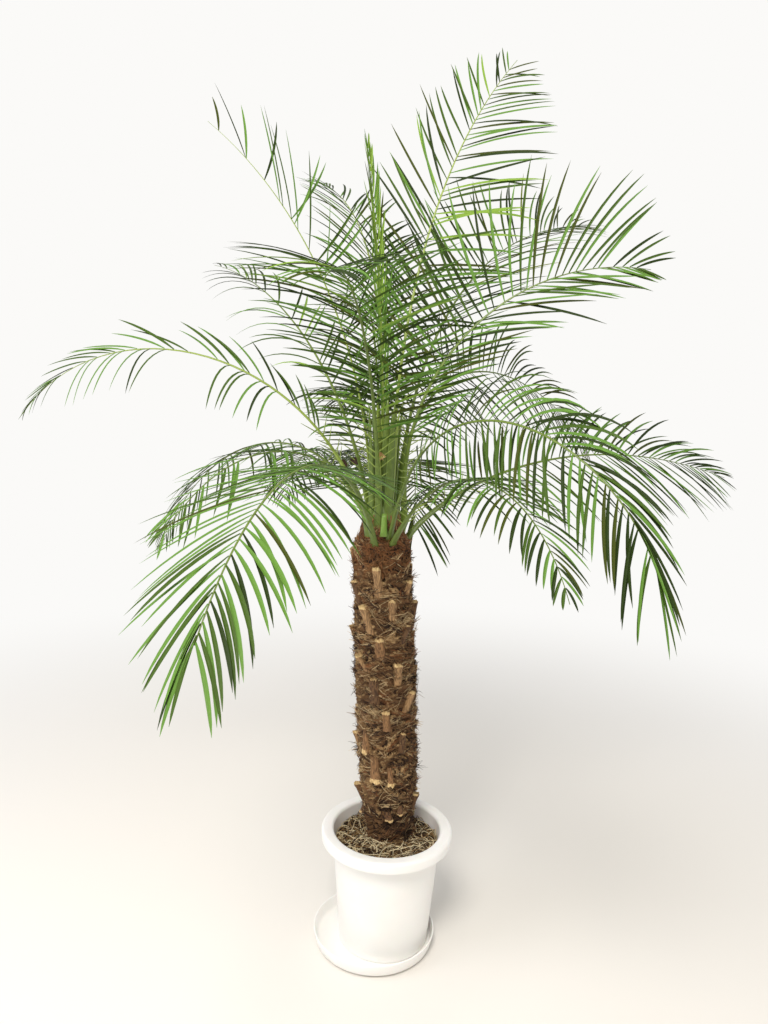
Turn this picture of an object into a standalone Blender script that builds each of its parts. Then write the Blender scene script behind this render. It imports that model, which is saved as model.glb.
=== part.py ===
# A pygmy date palm with one stem, in a round white plastic pot that stands in its saucer.
# Metres, +Z up. The origin is the middle of the saucer's underside. The plant's front is
# towards -Y, and +X is to its right.

import math
from collections import namedtuple

import bmesh
import bpy
from mathutils import Vector
from mathutils.bvhtree import BVHTree

GAP = 0.0003                    # clearance between pieces that touch

# Saucer, moulded plastic, with a recessed foot ring
SAUCER_RADIUS = 0.117
SAUCER_HEIGHT = 0.029
SAUCER_WALL = 0.0028
SAUCER_FLOOR = 0.007
SAUCER_FOOT_RADIUS = 0.098
SAUCER_FOOT_HEIGHT = 0.004

# Pot, moulded plastic, with a wide rim that is turned down and open underneath
POT_X = 0.0185                  # the pot stands off the saucer's middle
POT_Y = 0.004
POT_FOOT_RADIUS = 0.086
POT_NECK_RADIUS = 0.1025
RIM_RADIUS = 0.125
RIM_TOP = 0.233
RIM_DEPTH = 0.020
POT_WALL = 0.003

# Soil that fills the pot
SOIL_TOP = 0.207                # flat part that the trunk stands on
SOIL_EDGE = 0.203               # where it meets the pot's wall
SOIL_SHOULDER = 0.093

# Trunk: a thick fibrous stem with the stubs of old leaf bases, leaning to the left
TRUNK_FOOT_X = 0.025
TRUNK_FOOT_Y = 0.026
TRUNK_TOP_X = -0.010
TRUNK_TOP_Y = 0.018
TRUNK_TOP = 0.785               # where the fibrous stem ends and the green heart begins
TRUNK_SIDES = 20
TRUNK_GIRTH = (                 # share of the height, radius
    (0.0, 0.050), (0.03, 0.046), (0.10, 0.048), (0.22, 0.054), (0.45, 0.056),
    (0.70, 0.055), (0.88, 0.053), (1.0, 0.050),
)
HEART_HEIGHT = 0.080            # domed growing tip above the fibrous stem

# Stubs of cut leaf bases, set round the stem on the golden angle
GOLDEN_ANGLE = math.radians(137.5)
STUB_RISE = 0.0099              # height gained from one stub to the next
STUB_START = 0.012              # height of the lowest stub above the soil
STUB_TURN = math.radians(129)   # heading of the lowest stub
STUB_LENGTH = 0.050
STUB_FOOT_WIDTH = 0.014
STUB_TOP_WIDTH = 0.018
STUB_STAND = 0.008              # how far the cut end stands out of the stem
STUB_FOOT_STAND = 0.001         # and its lower end
STUB_ROOT = 0.007               # how deep it is rooted

# Fronds. Angles are in degrees and lengths in metres. heading is the compass direction that
# a frond leaves in, with 0 to the right and 90 to the back, and sweep is how far it turns from
# there. It leaves at rise above the horizontal and has bent down by droop at its tip; a bend
# over 1 keeps the bending for the outer part. seat is how high on the heart it sits, from 0 at
# the edge to 90 at the tip. leaf is its longest leaflet, fold lifts the leaflets out of the
# blade's plane, and roll turns the blade about its rib.
Frond = namedtuple("Frond", "name seat heading sweep rise droop bend length leaf fold roll")
FRONDS = (
    Frond("frond_spear", 90, 150, 0, 88, 9, 1.6, 0.635, 0.100, 10, 0),
    Frond("frond_upper_right", 66, 56, -18, 90, 43, 1.1, 0.93, 0.205, 8, 35),
    Frond("frond_upper_left", 66, 165, -5, 85, 48, 1.2, 0.78, 0.195, 46, 0),
    Frond("frond_upper_back", 66, 108, 18, 92, 75, 1.6, 0.75, 0.160, 15, 0),
    Frond("frond_right_arch", 46, 358, 4, 95, 102, 1.1, 0.69, 0.225, 15, 66),
    Frond("frond_right_behind", 46, 46, -18, 86, 85, 1.3, 0.83, 0.210, 12, 20),
    Frond("frond_back_arch", 46, 98, 0, 76, 92, 1.3, 0.78, 0.200, 8, 0),
    Frond("frond_left_upper", 46, 138, -5, 75, 64, 1.0, 0.74, 0.180, 10, -15),
    Frond("frond_left_arch", 46, 184, -22, 69, 119, 1.1, 0.81, 0.165, 5, -30),
    Frond("frond_front_arch", 46, 258, 8, 78, 106, 1.4, 0.68, 0.190, 10, 0),
    Frond("frond_right_back", 28, 66, -50, 88, 142, 0.8, 0.90, 0.195, 0, 55),
    Frond("frond_back_middle", 28, 102, 0, 66, 98, 1.0, 0.70, 0.180, 0, 0),
    Frond("frond_left_back", 28, 136, 18, 66, 134, 0.7, 0.78, 0.180, 0, -10),
    Frond("frond_front_left", 28, 231, 12, 70, 120, 0.8, 0.55, 0.130, 0, 0),
    Frond("frond_right_front", 28, 292, 43, 66, 150, 1.1, 0.77, 0.158, -20, 42),
    Frond("frond_right_low", 8, 20, -4, 53, 71, 0.6, 0.75, 0.200, 0, 45),
    Frond("frond_back_right_low", 8, 78, 9, 57, 146, 1.1, 0.59, 0.155, -6, 0),
    Frond("frond_back_low", 8, 97, 0, 50, 88, 0.9, 0.64, 0.170, -6, 0),
    Frond("frond_back_left_low", 8, 116, -5, 56, 110, 0.9, 0.66, 0.170, -6, 0),
    Frond("frond_front_low", 8, 254, 5, 55, 112, 0.9, 0.82, 0.162, -8, 0),
    Frond("frond_front_right", 8, 295, -4, 47, 104, 1.3, 0.59, 0.118, -6, 0),
)
BARE_SHARE = 0.20               # the petiole's share of a frond's length
TIP_SHARE = 0.95                # where the last pair of leaflets leaves
PAIR_STEP = 0.047               # spacing of the pairs, each standing for two or three
LEAF_WIDTH = 0.017              # at a leaflet's middle
LEAF_ROOT = 0.011               # where it leaves the rib
LEAF_THICK = 0.0026
LEAF_SAG = 0.55                 # how much a leaflet's outer half bends down
LEAF_ANGLE_FOOT = 62            # between rib and leaflet, at the first pair
LEAF_ANGLE_TIP = 25             # and at the last
SPEAR_LEAF_ANGLE = 15          # the youngest frond has leaflets that still point along it
RIB_FOOT_WIDTH = 0.012
RIB_TIP_WIDTH = 0.0035
RIB_FOOT_THICK = 0.008
RIB_TIP_THICK = 0.0028
RIB_STEPS = 120                 # steps that a rib's curve is walked in
LEAF_CLEAR = 0.0009             # room kept round a leaflet when it is tried
ROOT_SKIP = 0.05                # share of a leaflet next to its rib that is not tried
LEAF_TRIES = (1.0, 0.85, 0.7, 0.55, 0.4)    # lengths tried, as shares of the full one

Rib = namedtuple("Rib", "rings frames leafy end")


def material(name, colour, roughness):
    """A plain shader with the piece's colour."""
    made = bpy.data.materials.new(name)
    made.use_nodes = True
    shader = made.node_tree.nodes["Principled BSDF"]
    shader.inputs["Base Color"].default_value = (*colour, 1.0)
    shader.inputs["Roughness"].default_value = roughness
    shader.inputs["Metallic"].default_value = 0.0
    return made


def add_object(name, bm, colour, roughness, smooth=True):
    """Turn a bmesh into a named object with its own material."""
    mesh = bpy.data.meshes.new(name)
    bm.to_mesh(mesh)
    bm.free()
    if smooth:
        mesh.shade_smooth()
        mesh.set_sharp_from_angle(angle=math.radians(35))
    made = bpy.data.objects.new(name, mesh)
    made.data.materials.append(material(name, colour, roughness))
    bpy.context.scene.collection.objects.link(made)
    return made


def turned(profile, steps):
    """Spin a closed profile of (radius, height) pairs, both ends on the axis, about Z."""
    bm = bmesh.new()
    points = [bm.verts.new((radius, 0.0, height)) for radius, height in profile]
    edges = [bm.edges.new(pair) for pair in zip(points, points[1:])]
    bmesh.ops.spin(bm, geom=points + edges, cent=(0, 0, 0), axis=(0, 0, 1),
                   angle=math.tau, steps=steps, use_merge=True)
    bmesh.ops.remove_doubles(bm, verts=bm.verts, dist=0.00001)
    bmesh.ops.recalc_face_normals(bm, faces=bm.faces)
    return bm


def arc(centre_r, centre_z, radius, start, end, count):
    """Points of a round edge in a turned profile, angles in degrees."""
    turns = [math.radians(start + (end - start) * i / (count - 1)) for i in range(count)]
    return [(centre_r + radius * math.cos(t), centre_z + radius * math.sin(t)) for t in turns]


def between(table, share):
    """Read a value from (share, value) pairs, with a straight line between them."""
    for (low, first), (high, last) in zip(table, table[1:]):
        if share <= high:
            return first + (last - first) * (share - low) / (high - low)
    return table[-1][1]


def add_saucer():
    inner = SAUCER_RADIUS - SAUCER_WALL
    lip = SAUCER_WALL / 2
    profile = [(0, 0), (SAUCER_FOOT_RADIUS, 0), (SAUCER_FOOT_RADIUS, SAUCER_FOOT_HEIGHT)]
    profile += [(SAUCER_RADIUS - 0.010, SAUCER_FOOT_HEIGHT), (SAUCER_RADIUS - 0.004, 0.007)]
    profile += arc(SAUCER_RADIUS - lip, SAUCER_HEIGHT - lip, lip, 0, 180, 4)
    profile += [(inner - 0.004, 0.011), (inner - 0.008, SAUCER_FLOOR), (0, SAUCER_FLOOR)]
    add_object("saucer", turned(profile, 40), (0.86, 0.86, 0.84), 0.35)


def pot_inner_radius(height):
    """Radius of the pot's inside at a height, from the floor up to its neck."""
    foot = SAUCER_FLOOR + GAP
    neck = RIM_TOP - RIM_DEPTH
    share = (height - foot) / (neck - foot)
    return POT_FOOT_RADIUS + (POT_NECK_RADIUS - POT_FOOT_RADIUS) * share - POT_WALL


def add_pot():
    foot = SAUCER_FLOOR + GAP
    skirt = RIM_TOP - RIM_DEPTH
    floor = foot + POT_WALL
    crown = 0.006                                   # rounding of the rim's top edges
    mouth = pot_inner_radius(RIM_TOP)
    profile = [(0, foot), (POT_FOOT_RADIUS - 0.003, foot), (POT_FOOT_RADIUS, foot + 0.003)]
    profile += [(POT_NECK_RADIUS, skirt)]
    profile += [(mouth + POT_WALL, RIM_TOP - POT_WALL - 0.002)]
    profile += [(RIM_RADIUS - POT_WALL, RIM_TOP - crown), (RIM_RADIUS - POT_WALL, skirt)]
    profile += [(RIM_RADIUS - 0.0005, skirt)]
    profile += arc(RIM_RADIUS - crown, RIM_TOP - crown, crown, 0, 90, 4)
    profile += arc(mouth + crown, RIM_TOP - crown, crown, 90, 180, 4)
    profile += [(pot_inner_radius(floor), floor), (0, floor)]
    pot = add_object("pot", turned(profile, 44), (0.88, 0.88, 0.86), 0.3)
    pot.location = (POT_X, POT_Y, 0)


def add_soil():
    floor = SAUCER_FLOOR + POT_WALL + 2 * GAP
    profile = [(0, floor), (pot_inner_radius(floor) - 2 * GAP, floor)]
    profile += [(pot_inner_radius(SOIL_EDGE) - 2 * GAP, SOIL_EDGE)]
    profile += [(SOIL_SHOULDER, SOIL_TOP), (0, SOIL_TOP)]
    soil = add_object("soil", turned(profile, 44), (0.10, 0.06, 0.035), 0.95)
    soil.location = (POT_X, POT_Y, 0)


def trunk_centre(height):
    """Point on the leaning trunk's axis at a height."""
    share = (height - SOIL_TOP) / (TRUNK_TOP - SOIL_TOP)
    share = min(max(share, 0.0), 1.0)
    return Vector((TRUNK_FOOT_X + (TRUNK_TOP_X - TRUNK_FOOT_X) * share,
                   TRUNK_FOOT_Y + (TRUNK_TOP_Y - TRUNK_FOOT_Y) * share, height))


def trunk_radius(height):
    return between(TRUNK_GIRTH, (height - SOIL_TOP) / (TRUNK_TOP - SOIL_TOP))


def trunk_core():
    """The stem and its domed heart as one closed body, from a flat cut at the soil."""
    foot = SOIL_TOP + GAP
    levels = [foot + (TRUNK_TOP - foot) * share for share, _ in TRUNK_GIRTH]
    rings = [(trunk_centre(z), trunk_radius(z)) for z in levels]
    for turn in (20, 40, 60, 78):
        angle = math.radians(turn)
        centre = trunk_centre(TRUNK_TOP) + Vector((0, 0, HEART_HEIGHT * math.sin(angle)))
        rings.append((centre, TRUNK_GIRTH[-1][1] * math.cos(angle)))
    bm = bmesh.new()
    loops = []
    for centre, radius in rings:
        turns = [math.tau * i / TRUNK_SIDES for i in range(TRUNK_SIDES)]
        ring = [centre + radius * Vector((math.cos(t), math.sin(t), 0)) for t in turns]
        loops.append([bm.verts.new(point) for point in ring])
    for low, high in zip(loops, loops[1:]):
        for i in range(TRUNK_SIDES):
            j = (i + 1) % TRUNK_SIDES
            bm.faces.new((low[i], low[j], high[j], high[i]))
    bm.faces.new(reversed(loops[0]))
    bm.faces.new(loops[-1])
    bmesh.ops.recalc_face_normals(bm, faces=bm.faces)
    return bm


def stub(height, turn):
    """A cut leaf base: a wedge that leans out of the stem and ends in a flat cut."""
    out = Vector((math.cos(turn), math.sin(turn), 0))
    side = Vector((-math.sin(turn), math.cos(turn), 0))
    bm = bmesh.new()
    corners = []
    for z, width, stand in ((height, STUB_FOOT_WIDTH, STUB_FOOT_STAND),
                            (height + STUB_LENGTH, STUB_TOP_WIDTH, STUB_STAND)):
        surface = trunk_centre(z) + out * trunk_radius(z)
        for reach, spread in ((-STUB_ROOT, -1), (stand, -0.8), (stand, 0.8), (-STUB_ROOT, 1)):
            corners.append(bm.verts.new(surface + out * reach + side * spread * width / 2))
    low, high = corners[:4], corners[4:]
    bm.faces.new(reversed(low))
    bm.faces.new(high)
    for i in range(4):
        j = (i + 1) % 4
        bm.faces.new((low[i], low[j], high[j], high[i]))
    bmesh.ops.recalc_face_normals(bm, faces=bm.faces)
    return bm


def add_trunk():
    """The core and its stubs, joined by one Boolean union."""
    colour = (0.14, 0.075, 0.04)
    trunk = add_object("trunk", trunk_core(), colour, 0.9, smooth=False)
    stubs = bpy.data.collections.new("stubs")
    count = int((TRUNK_TOP - SOIL_TOP - STUB_LENGTH - STUB_START) / STUB_RISE)
    for i in range(count):
        wedge = stub(SOIL_TOP + STUB_START + i * STUB_RISE, STUB_TURN + i * GOLDEN_ANGLE)
        made = add_object(f"stub_{i}", wedge, colour, 0.9, smooth=False)
        stubs.objects.link(made)
    union = trunk.modifiers.new("stubs", "BOOLEAN")
    union.operation = "UNION"
    union.operand_type = "COLLECTION"
    union.collection = stubs
    union.solver = "EXACT"
    bpy.context.view_layer.update()
    joined = bpy.data.meshes.new_from_object(
        trunk.evaluated_get(bpy.context.evaluated_depsgraph_get()))
    trunk.modifiers.clear()
    trunk.data = joined
    for made in list(stubs.objects):
        bpy.data.objects.remove(made)
    bpy.data.collections.remove(stubs)
    return trunk


def seat_point(frond):
    """Where a frond's axis leaves the heart's surface."""
    lift = math.radians(frond.seat)
    turn = math.radians(frond.heading)
    reach = TRUNK_GIRTH[-1][1] * math.cos(lift)
    return trunk_centre(TRUNK_TOP) + Vector((reach * math.cos(turn), reach * math.sin(turn),
                                             HEART_HEIGHT * math.sin(lift)))


def rib_frame(frond, share):
    """Direction, sideways and upper-face vectors of the rib at a share of its length."""
    turn = math.radians(frond.heading + frond.sweep * share ** 1.5)
    lift = math.radians(frond.rise - frond.droop * share ** frond.bend)
    along = Vector((math.cos(lift) * math.cos(turn), math.cos(lift) * math.sin(turn),
                    math.sin(lift)))
    side = Vector((-math.sin(turn), math.cos(turn), 0))
    upper = along.cross(side)
    tilt = math.radians(frond.roll)
    turned_side = side * math.cos(tilt) + upper * math.sin(tilt)
    return along, turned_side, along.cross(turned_side)


def rib_points(frond, start):
    """Points down the rib's curve, walked in short steps of the same length."""
    step = frond.length / RIB_STEPS
    points = [start]
    for i in range(RIB_STEPS):
        along, _, _ = rib_frame(frond, (i + 0.5) / RIB_STEPS)
        points.append(points[-1] + along * step)
    return points


def rib_at(points, share):
    place = share * RIB_STEPS
    low = min(int(place), RIB_STEPS - 1)
    return points[low].lerp(points[low + 1], place - low)


def leaf_reach(share):
    """A leaflet's length as a share of the longest, from the first pair to the last."""
    return math.sin(math.pi * (0.17 + 0.66 * share)) ** 0.8


def leaf_rings(frond, frame, root, side_sign, share, scale, spare):
    """Corners of a leaflet's middle ring, and its tip."""
    along, side, upper = frame
    angle = math.radians(LEAF_ANGLE_FOOT + (LEAF_ANGLE_TIP - LEAF_ANGLE_FOOT) * share)
    if frond.name == "frond_spear":
        angle = math.radians(SPEAR_LEAF_ANGLE)
    lift = math.radians(frond.fold)
    out = side * side_sign * math.cos(lift) + upper * math.sin(lift)
    way = along * math.cos(angle) + out * math.sin(angle)
    length = frond.leaf * leaf_reach(share) * scale
    middle = root + way * length * 0.5
    bent = (way - Vector((0, 0, LEAF_SAG * math.sin(angle)))).normalized()
    tip = middle + bent * length * 0.5
    across = along - way * along.dot(way)
    across = across.normalized() if across.length > 0.05 else upper
    flat = way.cross(across).normalized()
    if flat.dot(upper) < 0:
        flat = -flat
    wide = across * (LEAF_WIDTH / 2 + spare)
    thick = flat * (LEAF_THICK / 2 + spare)
    ring = (middle + wide + thick, middle - wide + thick,
            middle - wide - thick, middle + wide - thick)
    return ring, tip


def leaf_faces(root_ring, ring, tip):
    """Vertices and triangles of one leaflet, for trying its place."""
    points = list(root_ring) + list(ring) + [tip]
    faces = []
    for i in range(4):
        j = (i + 1) % 4
        faces += [(i, j, 4 + j), (i, 4 + j, 4 + i), (4 + i, 4 + j, 8)]
    return points, faces


def frond_stations(frond):
    """Shares of the length where the rib has a ring, and which gaps between hold leaflets."""
    blade = (TIP_SHARE - BARE_SHARE) * frond.length
    pairs = max(6, round(blade / PAIR_STEP))
    step = (TIP_SHARE - BARE_SHARE) / pairs
    root = LEAF_ROOT / frond.length
    stations = [0.0, BARE_SHARE * 0.35, BARE_SHARE * 0.7]
    leafy = {}
    for k in range(pairs):
        leafy[len(stations)] = k / (pairs - 1)
        stations += [BARE_SHARE + k * step, BARE_SHARE + k * step + root]
    return stations, leafy


def clearance(trunk, point):
    """How far a point lies outside the trunk's surface, below zero inside it."""
    spot, normal, _, distance = trunk.find_nearest(point)
    return distance if (point - spot).dot(normal) > 0 else -distance


def seated_start(frond, trunk):
    """Move the rib's butt end out from the heart until it just clears it."""
    lift = math.radians(frond.seat)
    turn = math.radians(frond.heading)
    outward = Vector((math.cos(turn) * math.cos(lift), math.sin(turn) * math.cos(lift),
                      math.sin(lift)))
    frame = rib_frame(frond, 0)
    start = seat_point(frond) - outward * 0.1 * HEART_HEIGHT
    nearest = -1.0
    while nearest < GAP:
        start = start + outward * (GAP / 3)
        ends = section(start, frame, RIB_FOOT_WIDTH, RIB_FOOT_THICK)
        nearest = min(clearance(trunk, point) for point in edge_samples(ends))
    return start


def rib_sections(frond, trunk):
    """Corners and frames of a frond's rib at its stations, and its end point."""
    points = rib_points(frond, seated_start(frond, trunk))
    stations, leafy = frond_stations(frond)
    frames = [rib_frame(frond, share) for share in stations]
    rings = []
    for share, frame in zip(stations, frames):
        taper = share ** 0.8
        width = RIB_FOOT_WIDTH + (RIB_TIP_WIDTH - RIB_FOOT_WIDTH) * taper
        thick = RIB_FOOT_THICK + (RIB_TIP_THICK - RIB_FOOT_THICK) * taper
        rings.append(section(rib_at(points, share), frame, width, thick))
    return Rib(rings, frames, leafy, points[-1])


def rib_tree(rib):
    """The bare rib's faces, which no other frond's leaflet may touch."""
    points = [corner for ring in rib.rings for corner in ring] + [rib.end]
    faces = []
    for k in range(len(rib.rings) - 1):
        for i in range(4):
            j = (i + 1) % 4
            faces.append((4 * k + i, 4 * k + j, 4 * k + 4 + j, 4 * k + 4 + i))
    last = len(points) - 5
    faces += [(last + i, last + (i + 1) % 4, len(points) - 1) for i in range(4)]
    return BVHTree.FromPolygons(points, faces)


def add_frond(frond, rib, obstacles):
    """A tapering rib with leaflets on both sides, as one closed blade."""
    bm = bmesh.new()
    rings = [[bm.verts.new(corner) for corner in ring] for ring in rib.rings]
    own = {}
    for k in range(len(rings) - 1):
        low, high = rings[k], rings[k + 1]
        bm.faces.new((low[0], low[1], high[1], high[0]))
        bm.faces.new((low[2], low[3], high[3], high[2]))
        for side_sign, (top, under) in ((1, (1, 2)), (-1, (0, 3))):
            root_ring = (high[top], low[top], low[under], high[under])
            fitted = None
            if k in rib.leafy:
                fitted = fit_leaf(frond, rib, k, root_ring, side_sign, obstacles, own)
            if fitted is None:
                bm.faces.new(root_ring)
                continue
            ring, tip = fitted
            middle = [bm.verts.new(point) for point in ring]
            end = bm.verts.new(tip)
            for i in range(4):
                j = (i + 1) % 4
                bm.faces.new((root_ring[i], root_ring[j], middle[j], middle[i]))
                bm.faces.new((middle[i], middle[j], end))
    bm.faces.new(rings[0])
    end = bm.verts.new(rib.end)
    last = rings[-1]
    for i in range(4):
        bm.faces.new((last[i], last[(i + 1) % 4], end))
    bmesh.ops.recalc_face_normals(bm, faces=bm.faces)
    tree = BVHTree.FromBMesh(bm)
    shade = (0.10, 0.22, 0.045) if frond.seat < 60 else (0.18, 0.33, 0.07)
    add_object(frond.name, bm, shade, 0.5, smooth=False)
    return tree


def section(centre, frame, width, thick):
    """Four corners of the rib's section: two on its upper face, then two below."""
    _, side, upper = frame
    return [centre - side * width / 2 + upper * thick / 2,
            centre + side * width / 2 + upper * thick / 2,
            centre + side * width / 2 - upper * thick / 2,
            centre - side * width / 2 - upper * thick / 2]


def edge_samples(corners):
    """Points along a ring's four edges."""
    return [a.lerp(b, t / 4) for a, b in zip(corners, corners[1:] + corners[:1])
            for t in range(4)]


def fit_leaf(frond, rib, station, root_ring, side_sign, obstacles, own):
    """Find the longest leaflet that touches nothing, or none at all."""
    corners = [vert.co.copy() for vert in root_ring]
    root = sum(corners, Vector()) / 4
    frame = rib.frames[station]
    share = rib.leafy[station]
    for scale in LEAF_TRIES:
        wide_ring, far_tip = leaf_rings(frond, frame, root, side_sign, share, scale, LEAF_CLEAR)
        lifted = [corner + (ring_point - corner) * ROOT_SKIP
                  for corner, ring_point in zip(corners, wide_ring)]
        points, faces = leaf_faces(lifted, wide_ring, far_tip)
        tried = BVHTree.FromPolygons(points, faces)
        if any(tried.overlap(other) for other in obstacles):
            continue
        if any(tried.overlap(other) for place, other in own.items() if place[0] != station):
            continue
        own[(station, side_sign)] = tried
        return leaf_rings(frond, frame, root, side_sign, share, scale, 0.0)
    return None


def main():
    for existing in list(bpy.data.objects):
        bpy.data.objects.remove(existing, do_unlink=True)
    add_saucer()
    add_pot()
    add_soil()
    trunk = add_trunk()
    bm = bmesh.new()
    bm.from_mesh(trunk.data)
    trunk_tree = BVHTree.FromBMesh(bm)
    bm.free()
    ribs = {frond.name: rib_sections(frond, trunk_tree) for frond in FRONDS}
    trees = {name: rib_tree(rib) for name, rib in ribs.items()}
    for frond in FRONDS:
        others = [tree for name, tree in trees.items() if name != frond.name]
        trees[frond.name] = add_frond(frond, ribs[frond.name], [trunk_tree] + others)


main()
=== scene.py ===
# A pygmy date palm with one stem, in a round white plastic pot that stands in its saucer:
# the pieces that are seen, their materials, the light and the camera.
# Metres, +Z up. The plant's front is towards -Y, and +X is to its right.

import math
import random
from collections import namedtuple

import bmesh
import bpy
from mathutils import Matrix, Vector, noise
from mathutils.bvhtree import BVHTree


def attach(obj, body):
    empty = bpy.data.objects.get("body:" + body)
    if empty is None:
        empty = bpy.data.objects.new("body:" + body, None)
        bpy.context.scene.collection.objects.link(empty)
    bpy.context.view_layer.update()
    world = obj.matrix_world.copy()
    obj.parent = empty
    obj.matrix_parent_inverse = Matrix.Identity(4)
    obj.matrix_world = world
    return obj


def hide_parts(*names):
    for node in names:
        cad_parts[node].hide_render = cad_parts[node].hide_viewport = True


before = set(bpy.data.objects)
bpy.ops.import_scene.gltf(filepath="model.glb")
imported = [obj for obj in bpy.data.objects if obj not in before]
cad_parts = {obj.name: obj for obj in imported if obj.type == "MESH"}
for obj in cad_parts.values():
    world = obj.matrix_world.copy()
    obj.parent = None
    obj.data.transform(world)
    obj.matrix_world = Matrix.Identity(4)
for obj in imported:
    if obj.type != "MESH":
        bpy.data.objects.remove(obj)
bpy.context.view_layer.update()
scene = bpy.context.scene

# Camera
# It stands at eye height in front of the plant and looks down at the pot a little. It was
# held in the hand, so it leans to one side by two degrees.
film = bpy.data.cameras.new("camera")
film.lens = 27.07
film.sensor_width = 36.0
film.dof.use_dof = False
camera = bpy.data.objects.new("camera", film)
camera.matrix_world = (Matrix.Translation((-0.008, -1.37, 1.05))
                       @ Matrix.Rotation(math.radians(81.4), 4, "X")
                       @ Matrix.Rotation(math.radians(2.0), 4, "Z"))
scene.collection.objects.link(camera)
scene.camera = camera

# Floor and light
# A plain pale floor under a bright, nearly white room. A wide soft light stands high in
# front, and a weaker one fills in from the left.
FLOOR_HALF = 30.0
FADE_START = 0.5
FADE_END = 2.6
ROOM_LIGHT = 0.62


def linear(shade):
    """Turn a #rrggbb colour into linear red, green, blue and alpha."""
    parts = [int(shade[i:i + 2], 16) / 255 for i in (1, 3, 5)]
    parts = [p / 12.92 if p <= 0.04045 else ((p + 0.055) / 1.055) ** 2.4 for p in parts]
    return (*parts, 1.0)


def add_node(tree, kind, values=None, links=None, **settings):
    """Add a node with its settings, the values of its sockets and the links into them."""
    made = tree.nodes.new(kind)
    for name, value in settings.items():
        setattr(made, name, value)
    for socket, value in (values or {}).items():
        made.inputs[socket].default_value = value
    for socket, source in (links or {}).items():
        tree.links.new(source, made.inputs[socket])
    return made


def new_material(name, shade, **values):
    """Make a material with one colour, and return it with its nodes and its shader."""
    made = bpy.data.materials.new(name)
    made.use_nodes = True
    shader = made.node_tree.nodes["Principled BSDF"]
    shader.inputs["Base Color"].default_value = linear(shade)
    for socket, value in values.items():
        shader.inputs[socket.replace("_", " ")].default_value = value
    return made, made.node_tree, shader


def mesh_object(name, points, faces, materials, kinds=None, smooth=True):
    """Make a mesh object from lists, with a material number for each face."""
    mesh = bpy.data.meshes.new(name)
    mesh.from_pydata(points, [], faces)
    for material in materials:
        mesh.materials.append(material)
    if kinds:
        mesh.polygons.foreach_set("material_index", kinds)
    if smooth:
        mesh.polygons.foreach_set("use_smooth", [True] * len(mesh.polygons))
    mesh.update()
    made = bpy.data.objects.new(name, mesh)
    scene.collection.objects.link(made)
    return made


# floor paint: matt and pale near the plant, and fading into the bright room further off
floor_paint, tree, shader = new_material("floor_paint", "#efebe5", Roughness=0.6)
spot = add_node(tree, "ShaderNodeTexCoord")
reach = add_node(tree, "ShaderNodeVectorMath", links={0: spot.outputs["Object"]},
                 operation="LENGTH")
fade = add_node(tree, "ShaderNodeMapRange", {"From Min": FADE_START, "From Max": FADE_END},
                {"Value": reach.outputs["Value"]}, interpolation_type="SMOOTHSTEP")
glow = add_node(tree, "ShaderNodeEmission", {"Color": linear("#fbfaf8"), "Strength": 1.0})
blend = add_node(tree, "ShaderNodeMixShader", links={
    0: fade.outputs["Result"], 1: shader.outputs["BSDF"], 2: glow.outputs["Emission"]})
tree.links.new(blend.outputs["Shader"], tree.nodes["Material Output"].inputs["Surface"])
corners = [(x * FLOOR_HALF, y * FLOOR_HALF, 0) for x, y in ((-1, -1), (1, -1), (1, 1), (-1, 1))]
floor = mesh_object("floor", corners, [(0, 1, 2, 3)], [floor_paint], smooth=False)

room = bpy.data.worlds.new("room")
room.use_nodes = True
tree = room.node_tree
tree.nodes["Background"].inputs["Color"].default_value = linear("#fbfaf8")
seen = add_node(tree, "ShaderNodeLightPath")
level = add_node(tree, "ShaderNodeMapRange", {"To Min": ROOM_LIGHT, "To Max": 1.0},
                 {"Value": seen.outputs["Is Camera Ray"]})
tree.links.new(level.outputs["Result"], tree.nodes["Background"].inputs["Strength"])
scene.world = room

# each lamp's place, size, power and colour; both face the middle of the plant
PLANT_MIDDLE = Vector((0, 0, 0.8))
for name, place, size, power, shade in (
        ("lamp_high_front", (-0.5, -1.9, 2.9), 1.0, 85, "#fffaf2"),
        ("lamp_left", (-2.2, -0.8, 1.6), 1.4, 18, "#f6f8ff")):
    lamp = bpy.data.lights.new(name, "AREA")
    lamp.size = size
    lamp.energy = power
    lamp.color = linear(shade)[:3]
    holder = bpy.data.objects.new(name, lamp)
    holder.location = place
    aim = PLANT_MIDDLE - Vector(place)
    holder.rotation_euler = aim.to_track_quat("-Z", "Y").to_euler()
    scene.collection.objects.link(holder)

# Saucer
# A shallow dish of white polypropylene, injection moulded in one piece with a rounded lip
# and a recessed foot ring. It stands loose on the floor.
SAUCER_RADIUS = 0.117
SAUCER_HEIGHT = 0.029
SAUCER_WALL = 0.0028
SAUCER_FLOOR = 0.007
SAUCER_FOOT_RADIUS = 0.098
SAUCER_FOOT_HEIGHT = 0.004
SAUCER_BEND = 0.006


def repeats(size):
    """Scale of a pattern whose grain has a real size in millimetres."""
    return 1000 / size


def arc(centre_r, centre_z, radius, start, end, count):
    """Points of a round edge in a turned profile, angles in degrees."""
    turns = [math.radians(start + (end - start) * i / (count - 1)) for i in range(count)]
    return [(centre_r + radius * math.cos(t), centre_z + radius * math.sin(t)) for t in turns]


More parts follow.
